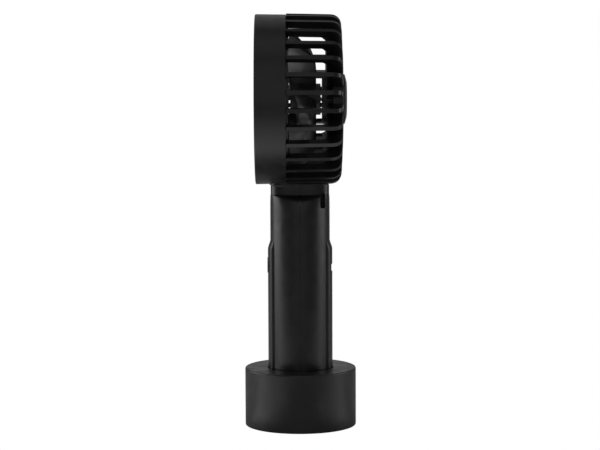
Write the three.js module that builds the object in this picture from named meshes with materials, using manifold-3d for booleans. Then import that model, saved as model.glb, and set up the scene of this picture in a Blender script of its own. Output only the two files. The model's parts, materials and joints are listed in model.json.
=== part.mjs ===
// A rechargeable handheld fan standing in its round base. Millimetres, +Z up, the fan blows towards -Y.
// The origin is the middle of the base's underside. The head's axis runs along Y at the height HEAD.height.
import * as THREE from "three";
import { mergeVertices } from "three/addons/utils/BufferGeometryUtils.js";
import Module from "manifold-3d";

const wasm = await Module();
wasm.setup();

// ---- Driving dimensions ----

const FIT = 0.3; // gap between separate pieces
const OVER = 2; // how far a cutting tool runs past what it cuts
const ROOT = 1; // how far a joined piece runs into its neighbour
const MERGE = 1e-3; // vertices nearer than this are one

const ROUND = { large: 48, medium: 28, small: 10 }; // sides of a turned piece

const BASE = {
  radius: 30,
  height: 32,
  wall: 2.2,
  edge: 0.9,
  clearance: 0.6, // the plastic stands this far above the table
  socketRadius: 18.2,
  socketMouth: 0.8, // chamfer round the socket's mouth
  socketWall: 2,
  floorTop: 8,
  floorThickness: 2,
};
const PLATE = { top: 3.4, grooveDepth: 1.2, counterbore: 1.5 };
const FOOT = { inner: 21, outer: 26, thickness: 1.5 };
const PAD = { radius: 15, thickness: 1.2 };
const BASE_SCREW = {
  count: 3,
  circle: 13,
  bossRadius: 2.5,
  shaftRadius: 0.9,
  headRadius: 1.9,
  headHeight: 1.1,
  length: 6,
};

const HANDLE = {
  radius: 16,
  wall: 2.3,
  bottom: 9.8,
  shoulderStart: 116,
  shoulderEnd: 127,
  neckHalfWidth: 9.5,
  neckHalfDepth: 15.7,
  neckTop: 138,
};
const CAVITY = { shoulderStart: 107, top: 117, topHalfWidth: 7, topHalfDepth: 10 };
const NECK_DUCT = { halfWidth: 5, front: -6, rear: 8.4 };
// A pocket in the neck's side with a bar across it for a wrist strap.
const LANYARD = { front: 10.9, rear: 13.6, low: 119, high: 127, floor: 2.4, barX: 5, barRadius: 0.6 };
const CAP = { flange: 1.2, spigot: 1.6 };

const PANEL = {
  halfWidth: 7.5,
  crown: 17.4, // how far the panel's middle stands from the handle's axis
  edge: 15.7, // how far its long edges stand from it
  seat: 15.3,
  low: 11.6,
  high: 101,
  chamferStart: 97.4,
};
const CASE_SCREW = {
  x: 5.4,
  z: 95.4,
  bossRadius: 2.2,
  boreFront: -9,
  headRadius: 1.7,
  headHeight: 1,
  headRear: 13.1,
  shaftRadius: 0.9,
  length: 16,
};

const BUTTON = {
  z: 87.6,
  radius: 4.6,
  proud: 17.65,
  flangeRadius: 5.1,
  flangeFront: 14.1,
  flangeRear: 13.3,
  stemRadius: 1.6,
};
const GUIDE = { z: 81, radius: 0.9, front: 17.4 };
const BOARD = { halfWidth: 11, low: 80.2, high: 92.8, front: 3, thickness: 1.2 };
const SWITCH = { half: 3, thickness: 3.5, socketDepth: 2.3, travel: 0.6 };
const PLUNGER = { radius: 1.7, length: 7.2 };
const LED = { half: 0.8, thickness: 1.1 };
const USB = { z: 86.2, halfWidth: 3.7, halfHeight: 1.4, wall: 0.35, rear: 15.5, depth: 6.5 };
const PORT = { halfWidth: 4.3, halfHeight: 2.15 };
const TONGUE = { halfWidth: 1.9, halfHeight: 0.3, length: 4.4 };

const CELL = { radius: 9.2, bottom: 14, length: 65, edge: 1, tipRadius: 2.9, tipHeight: 1.1 };
const TAB = { halfWidth: 2.5, thickness: 0.25, reach: 2 };
const FOAM = { radius: 8.5, thickness: 0.5 };

const HEAD = {
  height: 176.9,
  ringFrontRadius: 45.5,
  ringRearRadius: 45.25,
  ringWall: 2.1,
  ringEdge: 0.5,
  lip: 1.2, // the grille rests on this step
  front: -23.7,
  split: -7.1, // where the ring ends and the cage begins
};
const CAGE = {
  radius: 45.8,
  corner: 7,
  rear: 23.1,
  bars: 30,
  barThickness: 2.3,
  barDepth: 4.4,
  vaneFront: 14.2, // the rear vanes reach this far forwards
  innerChamferRadius: 39.4,
  innerChamferFront: 12.2,
  midRingInner: 24.6,
  midRingOuter: 26.8,
  midRingFront: 17.4,
  spigotOuter: 43,
  spigotInner: 41.2,
  spigotFront: -11.5,
  spigotRear: -6,
};
const CUP = { radius: 13.3, wall: 0.8, front: 12, frontWall: 1.6, noseHole: 3.4, rear: 23.1 };
const HUB_COVER = { rear: 25.4, edge: 0.8, spigotRadius: 12.1, spigotFront: 22.9 };
// The bottom bar is wider than the others and hollow, and carries the motor's leads to the neck.
const DUCT = {
  angle: 180,
  halfWidth: 3,
  wall: 0.9,
  rearPart: { inner: 11.7, outer: 40.6, front: 15.4 },
  sidePart: { inner: 40, outer: 44.9, rear: 18.2 },
  mouth: { front: 3.5, rear: 9.5 }, // where the leads leave it for the neck
};
const LUG = { count: 4, circle: 40.2, radius: 2.3, ringFront: -14, ringRear: -11.9, cageRear: -5.6 };
const CAGE_SCREW = { headRadius: 1.5, headHeight: 1, shaftRadius: 0.8, length: 6.5 };

const GRILLE = {
  radius: 43,
  rim: 2.2,
  front: -23.4,
  rear: -20.4,
  spokes: 24,
  spokeThickness: 1.1,
  spokeFront: -22.9,
  spokeRear: -20.8,
  edge: 0.6,
  sweep: 28, // degrees that a spoke leans back between hub and rim
  hubRadius: 10,
  ringRadius: 26,
  ringThickness: 1.1,
};
const GRILLE_CAP = { radius: 8.6, recess: 0.7, dome: 0.6 };

const ROTOR = {
  blades: 5,
  hubRadius: 8.4,
  hubFront: -5,
  hubRear: 11.3,
  noseRadius: 3,
  bladeThickness: 1.2,
  boreRadius: 1.3,
};
// Blade stations from hub to tip: radius, front edge, rear edge, degrees spanned, degrees of the middle.
const BLADE_STATIONS = [
  [7.4, -3.6, 8.6, 44, 0],
  [14, -5.4, 8.6, 50, 3],
  [21, -6, 8.5, 52, 7],
  [27, -6, 7.6, 51, 12],
  [32, -5.6, 5.4, 47, 18],
  [35.4, -4.6, 1.6, 36, 24],
  [37, -3.4, -1, 14, 30],
];
const BLADE_CHORD_STEPS = 4;
const BLADE_CAMBER = 1.1;

const MOTOR = {
  radius: 12.2,
  front: 14,
  rear: 22.4,
  wall: 0.8,
  capThickness: 1.4,
  noseRadius: 3,
  noseFront: 12.9,
  bushRadius: 2,
  bushInner: 1.1,
  bushRear: 15.6,
};
const CORE = { radius: 9.8, front: 17, rear: 20 };
const SHAFT = { radius: 1, front: -3, rear: 20.6 };
const LEAD = { radius: 0.55, offset: 0.9, sides: 8, steps: 16 };
// The leads' way from the motor to the board: place along Y, height.
const LEAD_ROUTE = [
  [20.8, 163.8],
  [20.8, 156.9],
  [20.8, 142.9],
  [17.2, 136.5],
  [8.4, 134.9],
  [4.6, 129.9],
  [3, 120.9],
  [2.15, 102.8],
  [2.15, 91.8],
];

// ---- Turning shapes into solids and back ----

// A closed geometry as a solid that can be cut and joined.
function solid(geometry) {
  const bare = geometry.index ? geometry.toNonIndexed() : geometry.clone();
  bare.deleteAttribute("normal");
  bare.deleteAttribute("uv");
  const merged = mergeVertices(bare, MERGE);
  const corners = merged.index.array;
  const triangles = [];
  for (let i = 0; i < corners.length; i += 3) {
    const [a, b, c] = corners.slice(i, i + 3);
    if (a !== b && b !== c && c !== a) triangles.push(a, b, c);
  }
  const vertProperties = merged.attributes.position.array;
  const triVerts = Uint32Array.from(triangles);
  return new wasm.Manifold(new wasm.Mesh({ numProp: 3, vertProperties, triVerts }));
}

function join(...solids) {
  return solids.reduce((whole, next) => whole.add(next));
}

function cut(body, ...tools) {
  return tools.reduce((rest, tool) => rest.subtract(tool), body);
}

function geometryOf(made) {
  const mesh = made.getMesh();
  const geometry = new THREE.BufferGeometry();
  geometry.setAttribute("position", new THREE.BufferAttribute(Float32Array.from(mesh.vertProperties), 3));
  geometry.setIndex(new THREE.BufferAttribute(Uint32Array.from(mesh.triVerts), 1));
  geometry.computeVertexNormals();
  return geometry;
}

// ---- Shapes ----

// The profile's points are [radius, place along the axis], turned about the Z axis.
function turnedZ(profile, sides) {
  const points = profile.map(([radius, place]) => new THREE.Vector2(radius, place));
  return solid(new THREE.LatheGeometry(points, sides).rotateX(Math.PI / 2));
}

// The same about the head's axis.
function turnedHead(profile, sides) {
  const points = profile.map(([radius, place]) => new THREE.Vector2(radius, place));
  return solid(new THREE.LatheGeometry(points, sides).translate(0, 0, HEAD.height));
}

// A closed ring's profile, from the front or low end to the rear or high end.
function band(inner, outer, low, high) {
  return [
    [inner, low],
    [outer, low],
    [outer, high],
    [inner, high],
    [inner, low],
  ];
}

// A disc's profile.
function disc(radius, low, high) {
  return [
    [0, low],
    [radius, low],
    [radius, high],
    [0, high],
  ];
}

function box(x0, x1, y0, y1, z0, z1) {
  const geometry = new THREE.BoxGeometry(x1 - x0, y1 - y0, z1 - z0);
  return solid(geometry.translate((x0 + x1) / 2, (y0 + y1) / 2, (z0 + z1) / 2));
}

// A round bar along Y.
function barY(x, z, radius, y0, y1, sides = ROUND.small) {
  const geometry = new THREE.CylinderGeometry(radius, radius, y1 - y0, sides);
  return solid(geometry.translate(x, (y0 + y1) / 2, z));
}

// A round bar along Z.
function barZ(x, y, radius, z0, z1, sides = ROUND.small) {
  const geometry = new THREE.CylinderGeometry(radius, radius, z1 - z0, sides);
  return solid(geometry.rotateX(Math.PI / 2).translate(x, y, (z0 + z1) / 2));
}

// A closed skin through loops of the same number of points, with a fan over each end.
function loft(loops) {
  const count = loops[0].length;
  const positions = loops.flat().flatMap((point) => [point.x, point.y, point.z]);
  const faces = [];
  for (let ring = 0; ring + 1 < loops.length; ring += 1) {
    for (let i = 0; i < count; i += 1) {
      const a = ring * count + i;
      const b = ring * count + ((i + 1) % count);
      faces.push(a, b, a + count, b, b + count, a + count);
    }
  }
  for (const [ring, flip] of [[0, true], [loops.length - 1, false]]) {
    const middle = new THREE.Vector3();
    loops[ring].forEach((point) => middle.add(point));
    middle.divideScalar(count);
    const centre = positions.length / 3;
    positions.push(middle.x, middle.y, middle.z);
    for (let i = 0; i < count; i += 1) {
      const a = ring * count + i;
      const b = ring * count + ((i + 1) % count);
      faces.push(...(flip ? [b, a, centre] : [a, b, centre]));
    }
  }
  const geometry = new THREE.BufferGeometry();
  geometry.setAttribute("position", new THREE.Float32BufferAttribute(positions, 3));
  geometry.setIndex(faces);
  return solid(geometry);
}

// An oval loop at one height, counter-clockwise seen from above.
function ovalLoop(halfWidth, halfDepth, z, sides) {
  return Array.from({ length: sides }, (_, i) => {
    const angle = (i / sides) * 2 * Math.PI;
    return new THREE.Vector3(halfWidth * Math.cos(angle), halfDepth * Math.sin(angle), z);
  });
}

// A turned screw along an axis: head first, then the shaft.
function screwProfile(spec) {
  return [
    [0, 0],
    [spec.headRadius, 0],
    [spec.headRadius, spec.headHeight],
    [spec.shaftRadius, spec.headHeight],
    [spec.shaftRadius, spec.length],
    [0, spec.length],
  ];
}

// Copies of a solid turned about the head's axis.
function roundHead(body, angles) {
  return angles.map((angle) =>
    body.translate([0, 0, -HEAD.height]).rotate([0, angle, 0]).translate([0, 0, HEAD.height]),
  );
}

function spread(count, start = 0) {
  return Array.from({ length: count }, (_, i) => start + (360 / count) * i);
}

// ---- Base ----

function baseScrewPlaces() {
  return spread(BASE_SCREW.count, 90).map((angle) => {
    const turn = THREE.MathUtils.degToRad(angle);
    return [BASE_SCREW.circle * Math.cos(turn), BASE_SCREW.circle * Math.sin(turn)];
  });
}

function baseCup() {
  const { radius, height, wall, edge, clearance, socketRadius, socketMouth, socketWall } = BASE;
  const floorBottom = BASE.floorTop - BASE.floorThickness;
  const shell = turnedZ(
    [
      [0, floorBottom],
      [socketRadius + socketWall, floorBottom],
      [socketRadius + socketWall, height - wall],
      [radius - wall, height - wall],
      [radius - wall, clearance],
      [radius - edge / 2, clearance],
      [radius, clearance + edge / 2],
      [radius, height - edge],
      [radius - edge * 0.3, height - edge * 0.3],
      [radius - edge, height],
      [socketRadius + socketMouth, height],
      [socketRadius, height - socketMouth],
      [socketRadius, BASE.floorTop],
      [0, BASE.floorTop],
    ],
    ROUND.large,
  );
  const bosses = baseScrewPlaces().map(([x, y]) =>
    barZ(x, y, BASE_SCREW.bossRadius, PLATE.top + FIT, floorBottom + FIT),
  );
  const holes = baseScrewPlaces().map(([x, y]) =>
    barZ(x, y, BASE_SCREW.shaftRadius + FIT, PLATE.top, BASE.floorTop - BASE.edge),
  );
  return cut(join(shell, ...bosses), ...holes);
}

function basePlate() {
  const radius = BASE.radius - BASE.wall - FIT;
  const grooveTop = BASE.clearance + PLATE.grooveDepth;
  const plate = turnedZ(disc(radius, BASE.clearance, PLATE.top), ROUND.large);
  const grooveLow = BASE.clearance - OVER;
  const groove = turnedZ(band(FOOT.inner - FIT, FOOT.outer + FIT, grooveLow, grooveTop), ROUND.large);
  const holes = baseScrewPlaces().flatMap(([x, y]) => [
    barZ(x, y, BASE_SCREW.shaftRadius + FIT, BASE.clearance - OVER, PLATE.top + OVER),
    barZ(x, y, BASE_SCREW.headRadius + FIT, BASE.clearance - OVER, BASE.clearance + PLATE.counterbore),
  ]);
  return cut(plate, groove, ...holes);
}

function footRing() {
  return turnedZ(band(FOOT.inner, FOOT.outer, 0, FOOT.thickness), ROUND.large);
}

function baseScrew([x, y]) {
  const headLow = BASE.clearance + PLATE.counterbore - FIT - BASE_SCREW.headHeight;
  return turnedZ(screwProfile(BASE_SCREW), ROUND.small).translate([x, y, headLow]);
}

function socketPad() {
  const low = BASE.floorTop + FIT;
  return turnedZ(disc(PAD.radius, low, low + PAD.thickness - FIT), ROUND.medium);
}

// ---- Handle ----

// The handle's round column, its shoulders and its neck, as one solid.
function handleColumn(low) {
  const { radius, shoulderStart, shoulderEnd, neckHalfWidth, neckHalfDepth, neckTop } = HANDLE;
  const loops = [ovalLoop(radius, radius, low, ROUND.medium)];
  for (const part of [0, 0.3, 0.55, 0.75, 0.9, 1]) {
    const fall = Math.sqrt(1 - part * part);
    const halfWidth = neckHalfWidth + (radius - neckHalfWidth) * fall;
    const halfDepth = neckHalfDepth + (radius - neckHalfDepth) * fall;
    const z = shoulderStart + (shoulderEnd - shoulderStart) * part;
    loops.push(ovalLoop(halfWidth, halfDepth, z, ROUND.medium));
  }
  loops.push(ovalLoop(neckHalfWidth, neckHalfDepth, neckTop, ROUND.medium));
  return loft(loops);
}

function handleCavity() {
  const inner = HANDLE.radius - HANDLE.wall;
  return loft([
    ovalLoop(inner, inner, HANDLE.bottom - OVER, ROUND.medium),
    ovalLoop(inner, inner, CAVITY.shoulderStart, ROUND.medium),
    ovalLoop(CAVITY.topHalfWidth, CAVITY.topHalfDepth, CAVITY.top, ROUND.medium),
  ]);
}

function neckDuct() {
  const { halfWidth, front, rear } = NECK_DUCT;
  return box(-halfWidth, halfWidth, front, rear, CAVITY.shoulderStart, HANDLE.neckTop + OVER);
}

// The raised trim panel's section, extruded up the handle at its rear; the front one is turned round.
function panelBar(grow, outward) {
  const halfWidth = PANEL.halfWidth + grow;
  const crown = PANEL.crown + outward;
  const edge = PANEL.edge + outward;
  const seat = PANEL.seat - grow;
  const rise = crown - edge;
  const faceRadius = (halfWidth * halfWidth + rise * rise) / (2 * rise);
  const faceAngle = Math.asin(halfWidth / faceRadius);
  const seatAngle = Math.asin(halfWidth / seat);
  const shape = new THREE.Shape();
  const up = Math.PI / 2;
  shape.absarc(0, crown - faceRadius, faceRadius, up - faceAngle, up + faceAngle, false);
  shape.absarc(0, 0, seat, up + seatAngle, up - seatAngle, true);
  shape.closePath();
  const height = PANEL.high + grow - (PANEL.low - grow);
  const geometry = new THREE.ExtrudeGeometry(shape, { depth: height, bevelEnabled: false, curveSegments: 6 });
  return solid(geometry.translate(0, 0, PANEL.low - grow));
}

// What the slope at the panel's upper end takes away.
function panelSlope() {
  const drop = PANEL.crown - HANDLE.radius;
  const slope = Math.atan2(drop, PANEL.high - PANEL.chamferStart);
  const tool = new THREE.BoxGeometry(HANDLE.radius * 2, drop * 4, HANDLE.radius);
  tool.translate(0, drop * 2, HANDLE.radius / 2);
  tool.rotateX(slope);
  return solid(tool.translate(0, PANEL.crown, PANEL.chamferStart));
}

function panelBlank() {
  return cut(panelBar(0, 0), panelSlope());
}

function halfTurn(body) {
  return body.rotate([0, 0, 180]);
}

function panelPocket() {
  return panelBar(FIT, OVER);
}

function buttonHole(radius) {
  return barY(0, BUTTON.z, radius, -PANEL.crown - OVER, -HANDLE.radius / 2, ROUND.medium);
}

function guideHole() {
  return barY(0, GUIDE.z, GUIDE.radius + FIT, -PANEL.crown - OVER, -HANDLE.radius / 2);
}

function frontPanel() {
  return cut(halfTurn(panelBlank()), buttonHole(BUTTON.radius + FIT), guideHole());
}

function rearPanel() {
  const { halfWidth, halfHeight } = PORT;
  const low = USB.z - halfHeight;
  const high = USB.z + halfHeight;
  const port = box(-halfWidth, halfWidth, HANDLE.radius / 2, PANEL.crown + OVER, low, high);
  return cut(panelBlank(), port);
}

// The head's front ring, with the lugs that take the cage's screws.
function headRing() {
  const { ringFrontRadius, ringRearRadius, ringWall, ringEdge, lip, front, split } = HEAD;
  const mouth = GRILLE.radius + FIT;
  const throat = mouth - lip;
  const lipFront = GRILLE.rear + FIT;
  const lipRear = CAGE.spigotFront - FIT;
  const rearInner = CAGE.spigotOuter + FIT;
  const ring = turnedHead(
    [
      [mouth, front],
      [ringFrontRadius - ringEdge, front],
      [ringFrontRadius, front + ringEdge],
      [ringRearRadius, split - ringEdge],
      [ringRearRadius - ringEdge, split],
      [rearInner, split],
      [rearInner, lipRear],
      [throat, lipRear],
      [throat, lipFront],
      [mouth, lipFront],
      [mouth, front],
    ],
    ROUND.large,
  );
  const backing = turnedHead(band(throat, ringRearRadius - ringWall / 2, lipFront, lipRear), ROUND.large);
  return ring.add(backing);
}

function lugAngles() {
  return spread(LUG.count, 45);
}

function lug(front, rear, outer) {
  const bar = barY(0, HEAD.height + LUG.circle, LUG.radius, front, rear);
  const web = box(-LUG.radius, LUG.radius, front, rear, HEAD.height + LUG.circle, HEAD.height + outer);
  return bar.add(web);
}

function lugHole(radius, front, rear) {
  return barY(0, HEAD.height + LUG.circle, radius, front, rear);
}

function screwBoss(side, y0, y1) {
  return barY(side * CASE_SCREW.x, CASE_SCREW.z, CASE_SCREW.bossRadius, y0, y1);
}

function screwBore(side, radius, y0, y1) {
  return barY(side * CASE_SCREW.x, CASE_SCREW.z, radius, y0, y1);
}

const SIDES = [-1, 1];

function frontShell() {
  const big = HANDLE.radius * 2;
  const low = HANDLE.bottom + CAP.flange + FIT;
  const column = handleColumn(low);
  const half = column.intersect(box(-big, big, -big, -FIT / 2, 0, HANDLE.neckTop + OVER));
  const ringInside = HEAD.ringRearRadius - ROOT;
  const insideRing = turnedHead(disc(ringInside, HEAD.front - OVER, HEAD.split), ROUND.large);
  const underCage = turnedHead(disc(CAGE.radius + FIT, HEAD.split, CAGE.rear), ROUND.large);
  const cutHalf = cut(half, insideRing, underCage, handleCavity(), neckDuct());
  const lugs = roundHead(lug(LUG.ringFront, LUG.ringRear, ringInside), lugAngles());
  const hole = lugHole(CAGE_SCREW.shaftRadius + FIT, LUG.ringFront - OVER, LUG.ringRear + OVER);
  const holes = roundHead(hole, lugAngles());
  const bosses = SIDES.map((side) => screwBoss(side, -HANDLE.radius + HANDLE.wall, -FIT / 2));
  const { shaftRadius, boreFront } = CASE_SCREW;
  const bores = SIDES.map((side) => screwBore(side, shaftRadius + FIT, boreFront, OVER));
  const button = buttonHole(BUTTON.flangeRadius + FIT);
  const shell = join(cutHalf, headRing(), ...lugs, ...bosses);
  return cut(shell, ...holes, ...bores, halfTurn(panelPocket()), button, guideHole());
}

function lanyardPocket() {
  const { front, rear, low, high, floor } = LANYARD;
  return box(floor, HANDLE.radius + OVER, front, rear, low, high);
}

function lanyardBar() {
  const { front, rear, low, high, barX, barRadius } = LANYARD;
  return barZ(barX, (front + rear) / 2, barRadius, low - ROOT, high + ROOT);
}

function usbSlot() {
  const halfWidth = USB.halfWidth + FIT;
  const halfHeight = USB.halfHeight + FIT;
  return box(-halfWidth, halfWidth, 0, HANDLE.radius + OVER, USB.z - halfHeight, USB.z + halfHeight);
}

function rearShell() {
  const big = HANDLE.radius * 2;
  const low = HANDLE.bottom + CAP.flange + FIT;
  const half = handleColumn(low).intersect(box(-big, big, FIT / 2, big, 0, HANDLE.neckTop + OVER));
  const underCage = turnedHead(disc(CAGE.radius + FIT, HEAD.split, CAGE.rear + OVER), ROUND.large);
  const wallRear = HANDLE.radius - HANDLE.wall;
  const bosses = SIDES.map((side) => screwBoss(side, FIT / 2, wallRear));
  const headSeat = CASE_SCREW.headRear - CASE_SCREW.headHeight - FIT;
  const bores = SIDES.flatMap((side) => [
    screwBore(side, CASE_SCREW.shaftRadius + FIT, -OVER, big),
    screwBore(side, CASE_SCREW.headRadius + FIT, headSeat, big),
  ]);
  const shell = cut(half, underCage, handleCavity(), neckDuct(), lanyardPocket());
  return cut(join(shell, lanyardBar(), ...bosses), ...bores, panelPocket(), usbSlot());
}

function bottomCap() {
  const { bottom, radius, wall } = HANDLE;
  const flangeTop = bottom + CAP.flange;
  const spigot = radius - wall - FIT;
  return turnedZ(
    [
      [0, bottom],
      [radius - CAP.flange / 2, bottom],
      [radius, bottom + CAP.flange / 2],
      [radius, flangeTop],
      [spigot, flangeTop],
      [spigot, flangeTop + CAP.spigot],
      [0, flangeTop + CAP.spigot],
    ],
    ROUND.medium,
  );
}

// The screw's head faces the rear, under the rear panel.
function caseScrew(side) {
  const geometry = new THREE.LatheGeometry(
    screwProfile(CASE_SCREW).map(([radius, place]) => new THREE.Vector2(radius, -place)).reverse(),
    ROUND.small,
  );
  return solid(geometry.translate(side * CASE_SCREW.x, CASE_SCREW.headRear, CASE_SCREW.z));
}

// ---- Button, board and charging socket ----

const boardRear = BOARD.front + BOARD.thickness;
const switchRear = BOARD.front - FIT;
const switchFront = switchRear - SWITCH.thickness;
const plungerRear = switchFront + SWITCH.socketDepth - FIT - SWITCH.travel;
const plungerFront = plungerRear - PLUNGER.length;

function powerButton() {
  const stemRear = plungerFront - FIT;
  return join(
    barY(0, BUTTON.z, BUTTON.radius, -BUTTON.proud, -BUTTON.flangeRear, ROUND.medium),
    barY(0, BUTTON.z, BUTTON.flangeRadius, -BUTTON.flangeFront, -BUTTON.flangeRear, ROUND.medium),
    barY(0, BUTTON.z, BUTTON.stemRadius, -BUTTON.flangeFront, stemRear),
  );
}

function lightGuide() {
  return barY(0, GUIDE.z, GUIDE.radius, -GUIDE.front, BOARD.front - FIT * 2 - LED.thickness);
}

function indicatorLed() {
  const rear = BOARD.front - FIT;
  return box(-LED.half, LED.half, rear - LED.thickness, rear, GUIDE.z - LED.half / 2, GUIDE.z + LED.half);
}

function circuitBoard() {
  const board = box(-BOARD.halfWidth, BOARD.halfWidth, BOARD.front, boardRear, BOARD.low, BOARD.high);
  const notch = CASE_SCREW.bossRadius + FIT;
  const notches = SIDES.map((side) => screwBore(side, notch, BOARD.front - OVER, boardRear + OVER));
  return cut(board, ...notches);
}

function switchBody() {
  const { half } = SWITCH;
  const body = box(-half, half, switchFront, switchRear, BUTTON.z - half, BUTTON.z + half);
  const socketRear = switchFront + SWITCH.socketDepth;
  const socket = barY(0, BUTTON.z, PLUNGER.radius + FIT, switchFront - OVER, socketRear);
  return cut(body, socket);
}

function switchPlunger() {
  return barY(0, BUTTON.z, PLUNGER.radius, plungerFront, plungerRear);
}

function usbShell() {
  const { halfWidth, halfHeight, wall, rear, depth, z } = USB;
  const front = boardRear + FIT;
  const shell = box(-halfWidth, halfWidth, front, rear, z - halfHeight, z + halfHeight);
  const innerWidth = halfWidth - wall;
  const innerHeight = halfHeight - wall;
  const hollow = box(-innerWidth, innerWidth, rear - depth, rear + OVER, z - innerHeight, z + innerHeight);
  return cut(shell, hollow);
}

function usbTongue() {
  const front = USB.rear - USB.depth + FIT;
  const { halfWidth, halfHeight, length } = TONGUE;
  return box(-halfWidth, halfWidth, front, front + length, USB.z - halfHeight, USB.z + halfHeight);
}

// ---- Battery ----

function batteryCell() {
  const top = CELL.bottom + CELL.length;
  const { edge } = CELL;
  return turnedZ(
    [
      [0, CELL.bottom],
      [CELL.radius - edge, CELL.bottom],
      [CELL.radius, CELL.bottom + edge],
      [CELL.radius, top - CELL.tipHeight - edge],
      [CELL.radius - edge, top - CELL.tipHeight],
      [CELL.tipRadius, top - CELL.tipHeight],
      [CELL.tipRadius, top],
      [0, top],
    ],
    ROUND.medium,
  );
}

function foamPad() {
  const low = HANDLE.bottom + CAP.flange + CAP.spigot + FIT;
  return turnedZ(disc(FOAM.radius, low, low + FOAM.thickness), ROUND.medium);
}

// A welded strip from the cell's tip to the board's rear face.
function positiveTab() {
  const low = CELL.bottom + CELL.length + FIT / 2;
  const y = boardRear + FIT;
  const { halfWidth, thickness, reach } = TAB;
  const flat = box(-halfWidth, halfWidth, -CELL.tipRadius, y + thickness, low, low + thickness);
  const upright = box(-halfWidth, halfWidth, y, y + thickness, low, BOARD.low + reach);
  return flat.add(upright);
}

// The cell's case is its negative side: this strip runs up beside it to the board.
function negativeTab() {
  const { halfWidth, thickness } = TAB;
  const x = CELL.radius + FIT;
  return box(x, x + thickness, -halfWidth, halfWidth, CELL.bottom + CELL.length / 2, BOARD.low - FIT);
}

// ---- Rear cage ----

// One bar: a plate in a plane through the head's axis. It runs back along the side, round the corner and
// in across the rear as a deep vane. The shape's X is the radius and its Y is the place along the axis.
function cageBar(innerRadius, thickness) {
  const { radius, corner, rear, barDepth, spigotInner, spigotRear } = CAGE;
  const foot = HEAD.split + FIT;
  const shape = new THREE.Shape();
  shape.moveTo(spigotInner + FIT, foot);
  shape.lineTo(radius, foot);
  shape.lineTo(radius, rear - corner);
  shape.absarc(radius - corner, rear - corner, corner, 0, Math.PI / 2, false);
  shape.lineTo(innerRadius, rear);
  shape.lineTo(innerRadius, CAGE.vaneFront);
  shape.lineTo(CAGE.innerChamferRadius, CAGE.vaneFront);
  shape.lineTo(radius - barDepth, CAGE.innerChamferFront);
  shape.lineTo(spigotInner + FIT, spigotRear - FIT);
  shape.closePath();
  const depth = thickness;
  const geometry = new THREE.ExtrudeGeometry(shape, { depth, bevelEnabled: false, curveSegments: 4 });
  return solid(geometry.translate(0, 0, -thickness / 2)).translate([0, 0, HEAD.height]);
}

function leadDuctHollow() {
  const { halfWidth, wall, rearPart, sidePart, mouth } = DUCT;
  const half = halfWidth - wall;
  const hollow = (front, rear, inner, outer) =>
    box(-half, half, front, rear, HEAD.height - outer, HEAD.height - inner);
  return join(
    hollow(rearPart.front - OVER, CAGE.rear - wall, rearPart.inner, rearPart.outer),
    hollow(mouth.front, sidePart.rear, sidePart.inner, sidePart.outer),
    hollow(mouth.front, mouth.rear, sidePart.inner, CAGE.radius + OVER),
  );
}

function hubCup() {
  const { radius, wall, front, frontWall, noseHole, rear } = CUP;
  return turnedHead(
    [
      [noseHole, front],
      [radius, front],
      [radius, rear],
      [radius - wall, rear],
      [radius - wall, front + frontWall],
      [noseHole, front + frontWall],
      [noseHole, front],
    ],
    ROUND.medium,
  );
}

function rearCage() {
  const { bars, barThickness, midRingInner, midRingOuter, midRingFront, rear } = CAGE;
  const { spigotInner, spigotOuter, spigotFront, spigotRear } = CAGE;
  const angles = spread(bars);
  const hubEnd = CUP.radius - CUP.wall / 2;
  const long = cageBar(hubEnd, barThickness);
  const short = cageBar(midRingInner + FIT, barThickness);
  const [duct] = roundHead(cageBar(hubEnd, DUCT.halfWidth * 2), [DUCT.angle]);
  const longBars = roundHead(long, angles.filter((angle, i) => i % 2 === 1 && angle !== DUCT.angle));
  const shortBars = roundHead(short, angles.filter((_, i) => i % 2 === 0));
  const midRing = turnedHead(band(midRingInner, midRingOuter, midRingFront, rear), ROUND.large);
  const spigot = turnedHead(band(spigotInner, spigotOuter, spigotFront, spigotRear), ROUND.large);
  const lugFront = LUG.ringRear + FIT;
  const lugs = roundHead(lug(lugFront, LUG.cageRear, spigotInner + ROOT), lugAngles());
  const hole = lugHole(CAGE_SCREW.shaftRadius + FIT, lugFront - OVER, LUG.cageRear - ROOT);
  const cage = join(spigot, midRing, hubCup(), duct, ...longBars, ...shortBars, ...lugs);
  return cut(cage, ...roundHead(hole, lugAngles()), leadDuctHollow());
}

function cageScrew(angle) {
  const headFront = LUG.ringFront - FIT - CAGE_SCREW.headHeight;
  const body = turnedHead(screwProfile(CAGE_SCREW), ROUND.small);
  return roundHead(body.translate([0, headFront, LUG.circle]), [angle])[0];
}

function hubCover() {
  const { rear, edge, spigotRadius, spigotFront } = HUB_COVER;
  const seat = CUP.rear + FIT;
  return turnedHead(
    [
      [0, spigotFront],
      [spigotRadius, spigotFront],
      [spigotRadius, seat],
      [CUP.radius, seat],
      [CUP.radius, rear - edge],
      [CUP.radius - edge, rear],
      [0, rear],
    ],
    ROUND.medium,
  );
}

// ---- Front grille ----

// One curved spoke: a strip that leans back as it runs out.
function grilleSpoke() {
  const steps = 4;
  const inner = GRILLE.hubRadius - 1;
  const outer = GRILLE.radius - GRILLE.rim / 2;
  const loops = Array.from({ length: steps + 1 }, (_, i) => {
    const part = i / steps;
    const radius = inner + (outer - inner) * part;
    const lean = THREE.MathUtils.degToRad(GRILLE.sweep * part * part);
    const half = GRILLE.spokeThickness / 2 / radius;
    const place = (angle, y) =>
      new THREE.Vector3(radius * Math.sin(angle), y, HEAD.height + radius * Math.cos(angle));
    return [
      place(lean - half, GRILLE.spokeFront),
      place(lean + half, GRILLE.spokeFront),
      place(lean + half, GRILLE.spokeRear),
      place(lean - half, GRILLE.spokeRear),
    ];
  });
  return loft(loops);
}

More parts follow.
